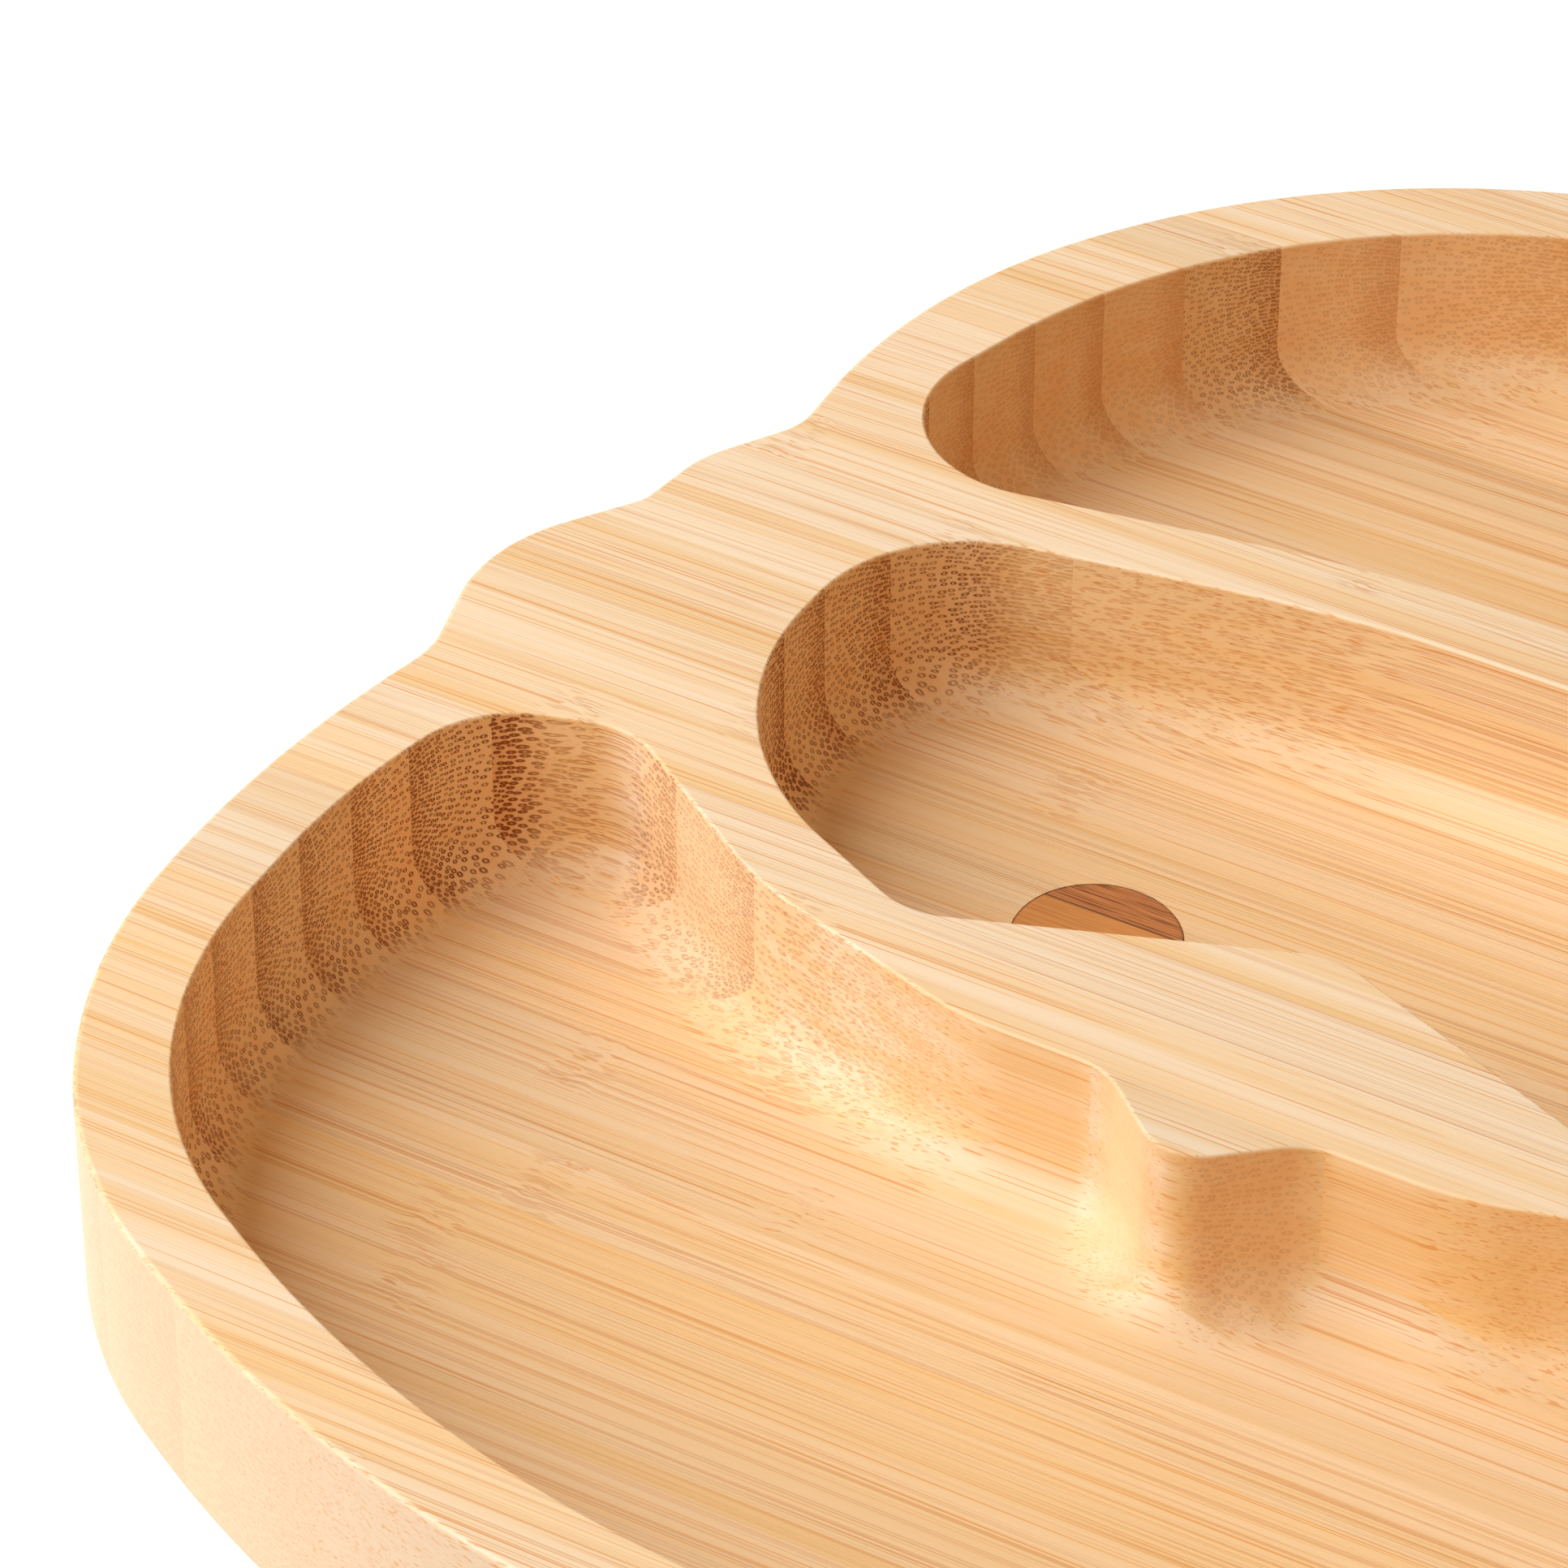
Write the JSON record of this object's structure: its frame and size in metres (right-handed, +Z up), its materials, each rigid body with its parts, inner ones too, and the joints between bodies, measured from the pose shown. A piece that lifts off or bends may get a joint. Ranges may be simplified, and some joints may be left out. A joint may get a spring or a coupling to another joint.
{
  "type": "divided plate",
  "caption": "Divided child's plate milled from a board of glued bamboo strips, with an animal-face outline, deep trays with coved walls and dark inlaid eyes.",
  "frame": {"origin": "under the middle of the plate's bounding box, on the surface that it rests on", "axes": "+Z up, +X to the right along the bamboo's grain, +Y from the wide front edge to the rounded back edge"},
  "size_m": [0.166, 0.1986, 0.02],
  "materials": {
    "bamboo": "sanded and oiled pale bamboo, satin",
    "dark_bamboo": "carbonised bamboo, sanded flush, satin"
  },
  "bodies": {
    "root": {"bamboo_strip_01": "bamboo", "bamboo_strip_02": "bamboo", "bamboo_strip_03": "bamboo", "bamboo_strip_04": "bamboo", "bamboo_strip_05": "bamboo", "bamboo_strip_06": "bamboo", "bamboo_strip_07": "bamboo", "bamboo_strip_08": "bamboo", "bamboo_strip_09": "bamboo", "bamboo_strip_10": "bamboo", "bamboo_strip_11": "bamboo", "bamboo_strip_12": "bamboo", "bamboo_strip_13": "bamboo", "bamboo_strip_14": "bamboo", "bamboo_strip_15": "bamboo", "bamboo_strip_16": "bamboo", "bamboo_strip_17": "bamboo", "bamboo_strip_18": "bamboo", "bamboo_strip_19": "bamboo", "bamboo_strip_20": "bamboo", "bamboo_strip_21": "bamboo", "bamboo_strip_22": "bamboo", "bamboo_strip_23": "bamboo", "bamboo_strip_24": "bamboo", "bamboo_strip_25": "bamboo", "bamboo_strip_26": "bamboo", "bamboo_strip_27": "bamboo", "bamboo_strip_28": "bamboo", "bamboo_strip_29": "bamboo", "left_eye_inlay": "dark_bamboo", "right_eye_inlay": "dark_bamboo"}
  },
  "joints": []
}
